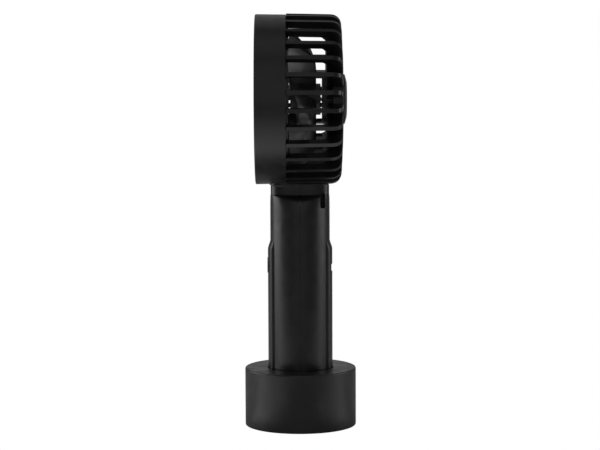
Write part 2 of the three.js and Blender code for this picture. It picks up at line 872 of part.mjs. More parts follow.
function frontGrille() {
  const { radius, rim, edge, front, rear, hubRadius } = GRILLE;
  const { ringRadius, ringThickness, spokeFront, spokeRear } = GRILLE;
  const frame = turnedHead(
    [
      [radius - rim, front + edge],
      [radius - rim + edge, front],
      [radius - edge, front],
      [radius, front + edge],
      [radius, rear],
      [radius - rim, rear],
      [radius - rim, front + edge],
    ],
    ROUND.large,
  );
  const ringInner = ringRadius - ringThickness / 2;
  const ringOuter = ringRadius + ringThickness / 2;
  const ring = turnedHead(band(ringInner, ringOuter, spokeFront + FIT, spokeRear - FIT), ROUND.large);
  const hub = turnedHead(disc(hubRadius, front, rear), ROUND.medium);
  const seatRear = front + GRILLE_CAP.recess + FIT;
  const seat = turnedHead(disc(GRILLE_CAP.radius + FIT, front - OVER, seatRear), ROUND.medium);
  const spokes = roundHead(grilleSpoke(), spread(GRILLE.spokes));
  return cut(join(frame, hub, ring, ...spokes), seat);
}

function grilleCap() {
  const { radius, recess, dome } = GRILLE_CAP;
  const front = GRILLE.front;
  return turnedHead(
    [
      [0, front - dome / 2],
      [radius / 2, front - dome / 3],
      [radius - dome, front],
      [radius, front + dome / 2],
      [radius, front + recess],
      [0, front + recess],
    ],
    ROUND.medium,
  );
}

// ---- Motor and impeller ----

function bladeLoop([radius, front, rear, span, middle]) {
  const half = ROTOR.bladeThickness / 2;
  const point = (part, lift) => {
    const angle = THREE.MathUtils.degToRad(middle + span * (part - 0.5));
    const y = front + (rear - front) * part + BLADE_CAMBER * Math.sin(Math.PI * part) + lift;
    return new THREE.Vector3(radius * Math.sin(angle), y, HEAD.height + radius * Math.cos(angle));
  };
  const parts = Array.from({ length: BLADE_CHORD_STEPS + 1 }, (_, i) => i / BLADE_CHORD_STEPS);
  return [...parts.map((part) => point(part, -half)), ...parts.reverse().map((part) => point(part, half))];
}

function impeller() {
  const { hubRadius, hubFront, hubRear, noseRadius, boreRadius } = ROTOR;
  const hub = turnedHead(
    [
      [0, hubFront],
      [hubRadius - noseRadius, hubFront],
      [hubRadius - noseRadius * 0.3, hubFront + noseRadius * 0.3],
      [hubRadius, hubFront + noseRadius],
      [hubRadius, hubRear],
      [0, hubRear],
    ],
    ROUND.medium,
  );
  const blades = roundHead(loft(BLADE_STATIONS.map(bladeLoop)), spread(ROTOR.blades));
  const bore = barY(0, HEAD.height, boreRadius, SHAFT.front - FIT, hubRear + OVER);
  return cut(join(hub, ...blades), bore);
}

function motorShaft() {
  return barY(0, HEAD.height, SHAFT.radius, SHAFT.front, SHAFT.rear);
}

function motorCan() {
  const { radius, front, rear, wall, capThickness, noseRadius, noseFront, bushRadius } = MOTOR;
  return turnedHead(
    [
      [bushRadius + FIT, noseFront],
      [noseRadius, noseFront],
      [noseRadius, front],
      [radius - wall, front],
      [radius, front + wall],
      [radius, rear - capThickness - FIT],
      [radius - wall, rear - capThickness - FIT],
      [radius - wall, front + wall],
      [bushRadius + FIT, front + wall],
      [bushRadius + FIT, noseFront],
    ],
    ROUND.medium,
  );
}

function motorBush() {
  return turnedHead(band(MOTOR.bushInner, MOTOR.bushRadius, MOTOR.noseFront, MOTOR.bushRear), ROUND.small);
}

function motorEndCap() {
  return turnedHead(disc(MOTOR.radius, MOTOR.rear - MOTOR.capThickness, MOTOR.rear), ROUND.medium);
}

// The wound core on the shaft, turning inside the can.
function motorCore() {
  const { radius, front, rear } = CORE;
  const core = turnedHead(disc(radius, front, rear), ROUND.medium);
  return cut(core, barY(0, HEAD.height, ROTOR.boreRadius, front - OVER, rear + OVER));
}

// One insulated lead from the motor, down the cage's duct, through the neck, to the board.
function motorLead(side) {
  const x = side * LEAD.offset;
  const places = LEAD_ROUTE.map(([y, z]) => new THREE.Vector3(x, y, z));
  const route = new THREE.CatmullRomCurve3(places, false, "centripetal");
  const section = new THREE.Shape(
    Array.from({ length: LEAD.sides }, (_, i) => {
      const angle = (i / LEAD.sides) * 2 * Math.PI;
      return new THREE.Vector2(LEAD.radius * Math.cos(angle), LEAD.radius * Math.sin(angle));
    }),
  );
  const { steps } = LEAD;
  return solid(new THREE.ExtrudeGeometry(section, { steps, extrudePath: route, bevelEnabled: false }));
}

// ---- Materials and scene ----

function material(color, roughness, metalness = 0) {
  return new THREE.MeshStandardMaterial({ color, roughness, metalness });
}

const shellBlack = material(0x1b1b1d, 0.55);
const trimBlack = material(0x19191b, 0.5);
const grilleBlack = material(0x161617, 0.5);
const bladeBlack = material(0x202022, 0.45);
const baseBlack = material(0x1c1c1e, 0.6);
const buttonBlack = material(0x232325, 0.4);
const rubberBlack = material(0x101010, 0.9);
const steel = material(0xb4b6b8, 0.35, 1);
const nickel = material(0xc8c4b4, 0.35, 1);
const brass = material(0xb8924a, 0.4, 1);
const copper = material(0xa5582e, 0.5, 1);
const boardGreen = material(0x1d5b33, 0.5);
const insulatorBlack = material(0x0d0d0e, 0.5);
const cellWrap = material(0x2f6fae, 0.4);
const lensClear = material(0xe8e8e4, 0.2);
const foamGrey = material(0x6a6a6a, 0.95);
const leadRed = material(0xa01818, 0.5);

const fan = new THREE.Group();

function add(name, made, look) {
  const mesh = new THREE.Mesh(geometryOf(made), look);
  mesh.name = name;
  fan.add(mesh);
}

add("base_cup", baseCup(), baseBlack);
add("base_plate", basePlate(), baseBlack);
add("base_foot_ring", footRing(), rubberBlack);
add("socket_pad", socketPad(), rubberBlack);
baseScrewPlaces().forEach((place, i) => add(`base_screw_${i + 1}`, baseScrew(place), steel));

add("front_shell", frontShell(), shellBlack);
add("rear_shell", rearShell(), shellBlack);
add("bottom_cap", bottomCap(), shellBlack);
add("front_panel", frontPanel(), trimBlack);
add("rear_panel", rearPanel(), trimBlack);
add("case_screw_left", caseScrew(-1), steel);
add("case_screw_right", caseScrew(1), steel);

add("power_button", powerButton(), buttonBlack);
add("light_guide", lightGuide(), lensClear);
add("indicator_led", indicatorLed(), lensClear);
add("circuit_board", circuitBoard(), boardGreen);
add("switch_body", switchBody(), insulatorBlack);
add("switch_plunger", switchPlunger(), insulatorBlack);
add("usb_shell", usbShell(), steel);
add("usb_tongue", usbTongue(), insulatorBlack);

add("battery_cell", batteryCell(), cellWrap);
add("battery_foam", foamPad(), foamGrey);
add("positive_tab", positiveTab(), nickel);
add("negative_tab", negativeTab(), nickel);

add("rear_cage", rearCage(), grilleBlack);
add("hub_cover", hubCover(), grilleBlack);
lugAngles().forEach((angle, i) => add(`cage_screw_${i + 1}`, cageScrew(angle), steel));
add("front_grille", frontGrille(), grilleBlack);
add("grille_cap", grilleCap(), trimBlack);

add("impeller", impeller(), bladeBlack);
add("motor_shaft", motorShaft(), steel);
add("motor_core", motorCore(), copper);
add("motor_can", motorCan(), steel);
add("motor_bush", motorBush(), brass);
add("motor_end_cap", motorEndCap(), insulatorBlack);
add("motor_lead_red", motorLead(-1), leadRed);
add("motor_lead_black", motorLead(1), insulatorBlack);

export default fan;
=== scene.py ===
# The looks of a black handheld fan standing in its round base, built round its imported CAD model.
import json
import math

import bmesh
import bpy
from mathutils import Matrix, Vector


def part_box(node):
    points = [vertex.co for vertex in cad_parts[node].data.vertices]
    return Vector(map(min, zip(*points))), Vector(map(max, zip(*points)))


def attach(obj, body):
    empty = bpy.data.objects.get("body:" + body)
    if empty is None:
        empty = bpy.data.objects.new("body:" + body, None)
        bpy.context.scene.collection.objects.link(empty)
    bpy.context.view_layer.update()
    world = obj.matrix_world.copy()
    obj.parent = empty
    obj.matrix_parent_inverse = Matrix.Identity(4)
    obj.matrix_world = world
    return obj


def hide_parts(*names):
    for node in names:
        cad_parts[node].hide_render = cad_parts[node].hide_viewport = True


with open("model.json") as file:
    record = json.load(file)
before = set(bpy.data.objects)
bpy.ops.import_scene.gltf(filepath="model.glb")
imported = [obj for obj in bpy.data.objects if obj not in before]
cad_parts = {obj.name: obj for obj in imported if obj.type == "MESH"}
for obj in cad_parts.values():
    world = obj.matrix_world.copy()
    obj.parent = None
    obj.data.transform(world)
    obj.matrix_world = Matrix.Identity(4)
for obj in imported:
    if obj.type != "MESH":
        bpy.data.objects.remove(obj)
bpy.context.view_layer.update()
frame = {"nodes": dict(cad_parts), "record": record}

# ---- Sizes, in millimetres as in the CAD model, taken from the frame where it has them ----

MM = 0.001


def node_box(node):
    low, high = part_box(node)
    return low / MM, high / MM


ring_low, ring_high = node_box("front_shell")
_, cage_high = node_box("rear_cage")
cover_low, cover_high = node_box("hub_cover")
cup_low, cup_high = node_box("base_cup")
grille_low, grille_high = node_box("front_grille")
cap_low, cap_high = node_box("grille_cap")
panel_low, panel_high = node_box("rear_panel")
_, shell_high = node_box("rear_shell")
button_low, button_high = node_box("power_button")
guide_low, guide_high = node_box("light_guide")
usb_low, usb_high = node_box("usb_shell")
tongue_low, tongue_high = node_box("usb_tongue")
plate_low, plate_high = node_box("base_plate")
_, foot_high = node_box("base_foot_ring")
bottom_low, bottom_high = node_box("bottom_cap")

GAP = 0.3
SCREW_SHAFT = 1.1

HEAD_Z = (cover_low.z + cover_high.z) / 2
RING_RADIUS = ring_high.x
RING_FRONT = ring_low.y
SPLIT = -7.1
SPIGOT_RADIUS = 43
SPIGOT_FRONT = -11.5
LUG_ANGLES = (45, 135, 225, 315)
LUG_REACH = 40.2
LUG_RADIUS = 2.3

CAGE_RADIUS = 45.8
CAGE_REAR = cage_high.y
CAGE_BARS = 30
CUP_RADIUS = 13.3
VANE_FRONT = 14.2

HANDLE_RADIUS = shell_high.x
SHELL_WALL = 2.3
NECK_HALF_WIDTH = 9.5
NECK_HALF_DEPTH = 15.7
SHOULDER_START = 116
SHOULDER_END = 126
DUCT_START = 107
DUCT_END = 117

PANEL_CROWN = panel_high.y
PANEL_EDGE = 15.7
PANEL_HALF_WIDTH = panel_high.x
PANEL_CHAMFER = 97.4
BUTTON_Z = (button_low.z + button_high.z) / 2
GUIDE_Z = (guide_low.z + guide_high.z) / 2
USB_Z = (usb_low.z + usb_high.z) / 2

FOOT_WIDTH = 5

# How many sides a turned piece has.
SIDES = {"head": 192, "round": 128, "small": 48}

# ---- Mesh helpers ----


def new_object(name, verts, faces):
    """An object of these points, given in millimetres, with its faces turned outwards."""
    mesh = bpy.data.meshes.new(name)
    mesh.from_pydata([Vector(v) * MM for v in verts], [], faces)
    made = bmesh.new()
    made.from_mesh(mesh)
    bmesh.ops.remove_doubles(made, verts=made.verts, dist=1e-7)
    bmesh.ops.recalc_face_normals(made, faces=made.faces)
    made.to_mesh(mesh)
    made.free()
    piece = bpy.data.objects.new(name, mesh)
    bpy.context.scene.collection.objects.link(piece)
    return piece


def settle(piece):
    """Applies a piece's modifiers."""
    bpy.context.view_layer.update()
    graph = bpy.context.evaluated_depsgraph_get()
    mesh = bpy.data.meshes.new_from_object(piece.evaluated_get(graph), depsgraph=graph)
    old = piece.data
    piece.modifiers.clear()
    piece.data = mesh
    bpy.data.meshes.remove(old)
    return piece


def combine(piece, tools, operation):
    """Joins the tools to a piece or cuts them from it, and removes them."""
    for tool in tools:
        step = piece.modifiers.new("combine", "BOOLEAN")
        step.operation = operation
        step.solver = "MANIFOLD"
        step.object = tool
    settle(piece)
    for tool in tools:
        mesh = tool.data
        bpy.data.objects.remove(tool)
        bpy.data.meshes.remove(mesh)
    return piece


def join(piece, *tools):
    return combine(piece, tools, "UNION")


def cut(piece, *tools):
    return combine(piece, tools, "DIFFERENCE")


def soften(piece, width, segments=2, angle=35):
    """Rounds a piece's sharp edges."""
    step = piece.modifiers.new("edges", "BEVEL")
    step.width = width * MM
    step.segments = segments
    step.limit_method = "ANGLE"
    step.angle_limit = math.radians(angle)
    step.use_clamp_overlap = True
    return settle(piece)


def shade(piece, angle=32):
    """Smooth shading that keeps sharp edges and flat faces."""
    piece.data.shade_smooth()
    piece.data.set_sharp_from_angle(angle=math.radians(angle))
    step = piece.modifiers.new("normals", "WEIGHTED_NORMAL")
    step.keep_sharp = True
    return settle(piece)


def fillet(before, corner, after, radius, steps):
    """The points of a round corner in a plane outline."""
    corner, before, after = Vector(corner), Vector(before), Vector(after)
    back, on = (before - corner), (after - corner)
    half = back.angle(on) / 2
    reach = min(radius / math.tan(half), back.length * 0.49, on.length * 0.49)
    start = corner + back.normalized() * reach
    end = corner + on.normalized() * reach
    points = []
    for i in range(steps + 1):
        part = i / steps
        a = start.lerp(corner, part)
        b = corner.lerp(end, part)
        points.append(tuple(a.lerp(b, part)))
    return points


def rounded(outline, closed, steps=4):
    """An outline of (x, y, radius) points with its corners rounded."""
    count = len(outline)
    points = []
    for i, (x, y, radius) in enumerate(outline):
        inside = closed or 0 < i < count - 1
        if radius <= 0 or not inside:
            points.append((x, y))
            continue
        before = outline[i - 1][:2]
        after = outline[(i + 1) % count][:2]
        points += fillet(before, (x, y), after, radius, steps)
    return points


def turned(name, outline, sides, about="head", closed=False, steps=4, at=(0, 0)):
    """A turned piece. The outline's points are (radius, place on the axis, corner radius)."""
    points = rounded(outline, closed, steps)
    verts, faces, rings = [], [], []
    for radius, place in points:
        if radius < 1e-6:
            rings.append([len(verts)] * sides)
            verts.append(on_axis(about, 0, place, 0, at))
            continue
        rings.append([len(verts) + i for i in range(sides)])
        for i in range(sides):
            verts.append(on_axis(about, radius, place, 2 * math.pi * i / sides, at))
    pairs = list(zip(rings, rings[1:] + rings[:1])) if closed else list(zip(rings, rings[1:]))
    for a, b in pairs:
        for i in range(sides):
            j = (i + 1) % sides
            face = list(dict.fromkeys([a[i], a[j], b[j], b[i]]))
            if len(face) > 2:
                faces.append(face)
    return new_object(name, verts, faces)


def on_axis(about, radius, place, angle, at):
    """A point round the head's axis, an axis along Y, or an upright axis."""
    across, up = radius * math.sin(angle), radius * math.cos(angle)
    if about == "head":
        return (at[0] + across, place, HEAD_Z + at[1] + up)
    if about == "y":
        return (at[0] + across, place, at[1] + up)
    return (at[0] + across, at[1] + up, place)


def rod(name, radius, start, end, sides, about="head", at=(0, 0)):
    """A plain round bar, to cut holes with."""
    outline = [(0, start, 0), (radius, start, 0), (radius, end, 0), (0, end, 0)]
    return turned(name, outline, sides, about, at=at)


def loft(name, loops):
    """A skin through loops of as many points each, closed at both ends."""
    count = len(loops[0])
    verts = [point for loop in loops for point in loop]
    faces = []
    for ring in range(len(loops) - 1):
        for i in range(count):
            a = ring * count + i
            b = ring * count + (i + 1) % count
            faces.append((a, b, b + count, a + count))
    last = (len(loops) - 1) * count
    faces.append(tuple(range(count)))
    faces.append(tuple(last + i for i in range(count)))
    return new_object(name, verts, faces)


def block(name, low, high):
    """A cutting box."""
    xs, ys, zs = zip(low, high)
    corners = [(x, y, z) for z in zs for y in ys for x in xs]
    faces = [(0, 1, 3, 2), (4, 5, 7, 6), (0, 1, 5, 4), (2, 3, 7, 6), (0, 2, 6, 4), (1, 3, 7, 5)]
    return new_object(name, corners, faces)


def about_head(piece, angle):
    """Turns a piece about the head's axis."""
    place = Matrix.Translation((0, 0, HEAD_Z * MM))
    piece.data.transform(place @ Matrix.Rotation(math.radians(angle), 4, "Y") @ place.inverted())
    return piece


# ---- Materials ----


def node_material(name):
    """A new node material, with the parts that every material here works on."""
    material = bpy.data.materials.new(name)
    material.use_nodes = True
    nodes = material.node_tree.nodes
    links = material.node_tree.links
    shader = nodes["Principled BSDF"]
    return material, nodes, links, shader


def grain_bump(nodes, links, shader, scale, strength, distance):
    """Fine moulded grain over the whole surface."""
    where = nodes.new("ShaderNodeTexCoord")
    grain = nodes.new("ShaderNodeTexNoise")
    grain.inputs["Scale"].default_value = scale
    grain.inputs["Detail"].default_value = 3
    grain.inputs["Roughness"].default_value = 0.6
    bump = nodes.new("ShaderNodeBump")
    bump.inputs["Strength"].default_value = strength
    bump.inputs["Distance"].default_value = distance
    links.new(where.outputs["Object"], grain.inputs["Vector"])
    links.new(grain.outputs["Fac"], bump.inputs["Height"])
    links.new(bump.outputs["Normal"], shader.inputs["Normal"])
    return where


def varied(nodes, links, where, scale, low, high, socket, detail=4):
    """Drives a socket between two values or colours with soft noise."""
    noise = nodes.new("ShaderNodeTexNoise")
    noise.inputs["Scale"].default_value = scale
    noise.inputs["Detail"].default_value = detail
    links.new(where.outputs["Object"], noise.inputs["Vector"])
    ramp = nodes.new("ShaderNodeValToRGB")
    ramp.color_ramp.elements[0].position = 0.35
    ramp.color_ramp.elements[1].position = 0.65
    ramp.color_ramp.elements[0].color = (*low, 1)
    ramp.color_ramp.elements[1].color = (*high, 1)
    links.new(noise.outputs["Fac"], ramp.inputs["Fac"])
    links.new(ramp.outputs["Color"], socket)


def grey(value):
    """A plain value as the colour that a ramp needs."""
    return (value, value, value)


def plastic(name, dark, light, roughness, grain=2600, strength=0.25, spread=0.05):
    """Moulded black plastic: fine grain, slightly uneven sheen and tone."""
    material, nodes, links, shader = node_material(name)
    where = grain_bump(nodes, links, shader, grain, strength, 0.00008)
    varied(nodes, links, where, 55, dark, light, shader.inputs["Base Color"])
    low, high = grey(roughness - spread), grey(roughness + spread)
    varied(nodes, links, where, 140, low, high, shader.inputs["Roughness"])
    shader.inputs["IOR"].default_value = 1.5
    return material


def metal(name, dark, light, roughness):
    """Plated or drawn metal with faint tarnish."""
    material, nodes, links, shader = node_material(name)
    shader.inputs["Metallic"].default_value = 1
    where = grain_bump(nodes, links, shader, 1800, 0.12, 0.00005)
    varied(nodes, links, where, 160, dark, light, shader.inputs["Base Color"])
    low, high = grey(roughness - 0.08), grey(roughness + 0.08)
    varied(nodes, links, where, 260, low, high, shader.inputs["Roughness"])
    return material


def milky_lens(name):
    """A frosted light guide."""
    material, nodes, links, shader = node_material(name)
    where = grain_bump(nodes, links, shader, 1500, 0.05, 0.00005)
    varied(nodes, links, where, 300, (0.5, 0.5, 0.48), (0.62, 0.62, 0.6), shader.inputs["Base Color"])
    shader.inputs["Roughness"].default_value = 0.25
    shader.inputs["Subsurface Weight"].default_value = 0.3
    shader.inputs["Subsurface Scale"].default_value = 0.001
    return material


def circuit_green(name):
    """Solder resist with faint track marks."""
    material, nodes, links, shader = node_material(name)
    where = grain_bump(nodes, links, shader, 900, 0.1, 0.00005)
    dark, light = (0.015, 0.13, 0.045), (0.03, 0.2, 0.08)
    varied(nodes, links, where, 420, dark, light, shader.inputs["Base Color"], 1)
    shader.inputs["Roughness"].default_value = 0.35
    return material


# A look has two tones and a roughness, then its grain and the grain's strength where they differ.
BASE_DARK, BASE_LIGHT = (0.0064, 0.0062, 0.0074), (0.0085, 0.0082, 0.0098)
looks = {
    "shell_black": plastic("shell_black", (0.0056, 0.0056, 0.0062), (0.0068, 0.0068, 0.0076), 0.33),
    "panel_black": plastic("panel_black", (0.0052, 0.0052, 0.0058), (0.0064, 0.0064, 0.0072), 0.33),
    "button_black": plastic("button_black", (0.007, 0.007, 0.0076), (0.009, 0.009, 0.0098), 0.34),
    "grille_black": plastic("grille_black", (0.0052, 0.0052, 0.0058), (0.0064, 0.0064, 0.0072), 0.34),
    "blade_black": plastic("blade_black", (0.014, 0.0135, 0.016), (0.018, 0.0174, 0.0205), 0.36),
    "base_black": plastic("base_black", BASE_DARK, BASE_LIGHT, 0.38, 1700, 0.45),
    "rubber_black": plastic("rubber_black", (0.006, 0.006, 0.006), (0.01, 0.01, 0.01), 0.85, 1200, 0.5),
    "insulator_black": plastic("insulator_black", (0.008, 0.008, 0.008), (0.012, 0.012, 0.012), 0.5),
    "cell_wrap": plastic("cell_wrap", (0.05, 0.16, 0.38), (0.07, 0.2, 0.44), 0.3, 400, 0.1),
    "foam_grey": plastic("foam_grey", (0.12, 0.12, 0.12), (0.2, 0.2, 0.2), 0.92, 900, 0.9),
    "lead_red": plastic("lead_red", (0.3, 0.012, 0.012), (0.4, 0.02, 0.02), 0.4, 900, 0.1),
    "steel": metal("steel", (0.42, 0.43, 0.44), (0.56, 0.57, 0.58), 0.32),
    "nickel": metal("nickel", (0.5, 0.48, 0.42), (0.62, 0.6, 0.54), 0.34),
    "brass": metal("brass", (0.5, 0.35, 0.14), (0.64, 0.46, 0.2), 0.4),
    "winding_copper": metal("winding_copper", (0.42, 0.16, 0.07), (0.58, 0.25, 0.12), 0.42),
    "lens_clear": milky_lens("lens_clear"),
    "board_green": circuit_green("board_green"),
}

# ---- Base ----


def base_cup():
    radius, height = cup_high.x, cup_high.z
    wall, socket, socket_wall, floor_top = 2.2, 17.8, 2.4, 8
    outline = [
        (0, floor_top - 2, 0),
        (socket + socket_wall, floor_top - 2, 0.3),
        (socket + socket_wall, height - wall, 0.5),
        (radius - wall, height - wall, 0.5),
        (radius - wall, cup_low.z, 0.2),
        (radius, cup_low.z, 0.6),
        (radius, height, 0.9),
        (socket, height, 0.35),
        (socket, floor_top, 0.5),
        (0, floor_top, 0),
    ]
    return shade(turned("fine_base_cup", outline, SIDES["head"], "z", steps=6))


def base_plate():
    radius, low, high = plate_high.x, plate_low.z, plate_high.z
    groove = low + 1.2
    foot_inner = foot_high.x - FOOT_WIDTH - GAP
    outline = [
        (0, low, 0),
        (foot_inner, low, 0.2),
        (foot_inner, groove, 0.1),
        (foot_high.x + GAP, groove, 0.1),
        (foot_high.x + GAP, low, 0.2),
        (radius, low, 0.3),
        (radius, high, 0.3),
        (0, high, 0),
    ]
    plate = turned("fine_base_plate", outline, SIDES["head"], "z")
    head_hole, thread_hole, sink = 2.2, 1.2, low + 1.5
    hole = [
        (0, low - 1, 0),
        (head_hole + 0.3, low - 1, 0),
        (head_hole, low + 0.3, 0),
        (head_hole, sink, 0),
        (thread_hole, sink, 0),
        (thread_hole, high + 1, 0),
        (0, high + 1, 0),
    ]
    holes = []
    for i in range(3):
        screw_low, screw_high = node_box(f"base_screw_{i + 1}")
        centre = (screw_low + screw_high) / 2
        holes.append(turned(f"hole_{i}", hole, SIDES["small"], "z", at=(centre.x, centre.y)))
    return shade(cut(plate, *holes))


def foot_ring():
    outer, high = foot_high.x, foot_high.z
    inner = outer - FOOT_WIDTH
    outline = [(inner, 0, 0.4), (outer, 0, 0.4), (outer, high, 0.3), (inner, high, 0.3)]
    return shade(turned("fine_base_foot_ring", outline, SIDES["head"], "z", closed=True))


# ---- Screws ----


def screw(node, head_first):
    """A pan-head screw with a cross recess. head_first is the axis that runs from its head to its tip."""
    low, high = node_box(node)
    middle = (low + high) / 2
    spread = [high[i] - low[i] for i in range(3)]
    axis = max(range(3), key=lambda i: abs(head_first[i]))
    length = spread[axis]
    head = spread[(axis + 1) % 3] / 2
    shaft, head_high, tip = head * 0.5, 1.05, 0.8
    outline = [
        (0, 0, 0),
        (head * 0.55, 0, 0.2),
        (head, 0.35, 0.4),
        (head, head_high, 0.1),
        (shaft, head_high, 0.1),
        (shaft, length - tip, 0.2),
        (0, length, 0),
    ]
    made = turned("screw", outline, SIDES["small"], "z")
    slot_long, slot_wide, deep = head * 0.62, head * 0.14, 0.6
    for name, x, y in (("slot_a", slot_long, slot_wide), ("slot_b", slot_wide, slot_long)):
        cut(made, block(name, (-x, -y, -0.5), (x, y, deep)))
    turn = Vector((0, 0, 1)).rotation_difference(Vector(head_first)).to_matrix().to_4x4()
    start = Vector(middle)
    start[axis] = low[axis] if head_first[axis] > 0 else high[axis]
    made.data.transform(Matrix.Translation(start * MM) @ turn)
    made.name = "fine_" + node
    made.data.name = made.name
    return shade(made)


# ---- Handle ----


def shoulder(z):
    """How far the shoulder has closed in at a height, from 0 on the round handle to 1 on the neck."""
    roundness = 2.4
    part = min(max((z - SHOULDER_START) / (SHOULDER_END - SHOULDER_START), 0), 1)
    return 1 - (1 - part**roundness) ** (1 / roundness)


def outer_half(z):
    """Half the width and half the depth of the handle's outside at a height."""
    closed = shoulder(z)
    width = HANDLE_RADIUS + (NECK_HALF_WIDTH - HANDLE_RADIUS) * closed
    depth = HANDLE_RADIUS + (NECK_HALF_DEPTH - HANDLE_RADIUS) * closed
    return width, depth


def inner_half(z, side):
    """The same for the hollow inside, which narrows to a duct for the motor's leads."""
    part = min(max((z - DUCT_START) / (DUCT_END - DUCT_START), 0), 1)
    start = HANDLE_RADIUS - SHELL_WALL
    duct_half_width, duct_depth = 5, 6 if side < 0 else 8.4
    return start + (duct_half_width - start) * part, start + (duct_depth - start) * part


def outer_arc(z, width, depth, joint):
    """The outside of a half section: round on the handle, flatter across the neck."""
    steps = 64
    squareness = 2 / (2 + 1.2 * shoulder(z))
    points = []
    for i in range(1, steps):
        angle = math.pi * i / steps
        across = math.copysign(abs(math.cos(angle)) ** squareness, math.cos(angle))
        points.append((width * across, joint + depth * math.sin(angle) ** squareness))
    return points


def inner_arc(width, depth, joint):
    """The inside of a half section, from left to right."""
    steps = 64
    turns = [math.pi * i / steps for i in range(steps - 1, 0, -1)]
    return [(width * math.cos(turn), joint + depth * math.sin(turn)) for turn in turns]


def half_loop(z, side, flare):
    """A C-shaped section of one half shell. side is -1 for the front half and 1 for the rear.

    The edges at the joint are rounded outside, and the rear half has a tongue that closes the joint inside.
    """
    edge, joint, tongue, tongue_gap = 0.3, 0.05, 0.8, 0.08
    width, depth = outer_half(z)
    inner_width, inner_depth = inner_half(z, side)
    width, depth = width + flare, depth + flare
    step = width - 0.45 * (width - inner_width)
    step_depth = -tongue
    if side < 0:
        step += tongue_gap
        step_depth = tongue + tongue_gap
    lip = [
        (step, joint),
        (width - edge, joint),
        (width - edge * 0.35, joint + edge * 0.12),
        (width - edge * 0.08, joint + edge * 0.45),
    ]
    far_lip = [(-x, y) for x, y in reversed(lip)]
    far_step = [(-step, step_depth), (-inner_width, step_depth)]
    near_step = [(inner_width, step_depth), (step, step_depth)]
    outside = lip + outer_arc(z, width, depth, joint) + far_lip
    inside = far_step + inner_arc(inner_width, inner_depth, joint) + near_step
    return [(x, side * y, z) for x, y in outside + inside]


def levels():
    """Heights of the handle's sections: few on the straight part, many over the shoulder."""
    foot = bottom_high.z - 1.3
    straight = [foot, 40, 70, 95, SHOULDER_START - 3]
    steps = 22
    rise = SHOULDER_END - SHOULDER_START
    bend = [SHOULDER_START + rise * math.sin(math.pi / 2 * i / steps) for i in range(steps + 1)]
    return straight + bend


def half_column(name, side):
    """Half of the handle and neck. The front half flares a little where it meets the ring."""
    top = HEAD_Z - CAGE_RADIUS + 4
    flare = 0.6 if side < 0 else 0
    root = HEAD_Z - RING_RADIUS - 0.8
    steps = 8 if side < 0 else 0
    rows = [(z, 0) for z in levels()]
    for i in range(steps + 1):
        part = math.sin(math.pi / 2 * i / max(steps, 1))
        rows.append((root + flare * part, flare * (1 - math.sqrt(1 - part * part))))
    rows.append((top, flare))
    return loft(name, [half_loop(z, side, out) for z, out in rows])


def front_ring():
    mouth = grille_high.x + GAP
    throat = mouth - 1.2
    spigot = SPIGOT_RADIUS + GAP
    spigot_front = SPIGOT_FRONT - GAP
    ledge = grille_high.y + GAP
    outline = [
        (mouth, RING_FRONT, 0.5),
        (RING_RADIUS, RING_FRONT, 0.7),
        (RING_RADIUS - 0.25, SPLIT, 0.45),
        (spigot, SPLIT, 0.2),
        (spigot, spigot_front, 0.1),
        (throat, spigot_front, 0.2),
        (throat, ledge, 0.2),
        (mouth, ledge, 0.1),
    ]
    return turned("fine_front_shell", outline, SIDES["head"], closed=True, steps=5)


def lug(name, front, rear, outer):
    """A screw lug standing in from a ring."""
    outline = [(0, front, 0), (LUG_RADIUS, front, 0.3), (LUG_RADIUS, rear, 0.3), (0, rear, 0)]
    post = turned(name, outline, SIDES["small"], at=(0, LUG_REACH))
    low = (-LUG_RADIUS, front + 0.05, HEAD_Z + LUG_REACH)
    high = (LUG_RADIUS, rear - 0.05, HEAD_Z + outer)
    return join(post, block("web", low, high))


def lug_set(name, front, rear, outer):
    return [about_head(lug(f"{name}_{angle}", front, rear, outer), angle) for angle in LUG_ANGLES]


def lug_holes(name, front, rear):
    """Tools for the screw holes through a set of lugs."""
    tools = []
    for angle in LUG_ANGLES:
        tool = rod(f"{name}_{angle}", SCREW_SHAFT, front, rear, SIDES["small"], at=(0, LUG_REACH))
        tools.append(about_head(tool, angle))
    return tools


def front_shell():
    half = half_column("half_front", -1)
    inside_ring = rod("tool_ring", RING_RADIUS - 1, RING_FRONT - 2, SPLIT, SIDES["head"])
    under_cage = rod("tool_cage", CAGE_RADIUS + GAP, SPLIT, CAGE_REAR, SIDES["head"])
    cut(half, inside_ring, under_cage)
    lugs = lug_set("lug", -14, -11.9, RING_RADIUS - 1)
    holes = lug_holes("lug_hole", -16, -10)
    shell = join(front_ring(), half, *lugs)
    button = rod("button_hole", button_high.x + GAP, -20, -8, SIDES["small"], "y", (0, BUTTON_Z))
    guide = rod("guide_hole", 1.2, -20, -8, SIDES["small"], "y", (0, GUIDE_Z))
    return shade(cut(shell, *holes, button, guide))


def strap_pocket():
    """The pocket in the neck's side for a wrist strap."""
    front, rear, low, high, corner = 10.9, 13.6, 119, 127, 1.2
    floor_x, outside_x = 2.4, 20
    outline = [(front, low, corner), (rear, low, corner), (rear, high, corner), (front, high, corner)]
    points = rounded(outline, True, 6)
    return loft("strap_pocket", [[(x, y, z) for y, z in points] for x in (floor_x, outside_x)])


def strap_bar():
    """The bar across the pocket that the strap loops round."""
    return rod("strap_bar", 0.6, 118, 128, SIDES["small"], "z", (5, 12.25))


def rear_shell():
    half = half_column("fine_rear_shell", 1)
    under_cage = rod("tool_cage", CAGE_RADIUS + GAP, SPLIT, CAGE_REAR + 2, SIDES["head"])
    half_width, half_height = 4, 1.7
    low = (-half_width, 8, USB_Z - half_height)
    high = (half_width, 20, USB_Z + half_height)
    shell = cut(half, under_cage, block("usb_hole", low, high), strap_pocket())
    return shade(join(shell, strap_bar()))


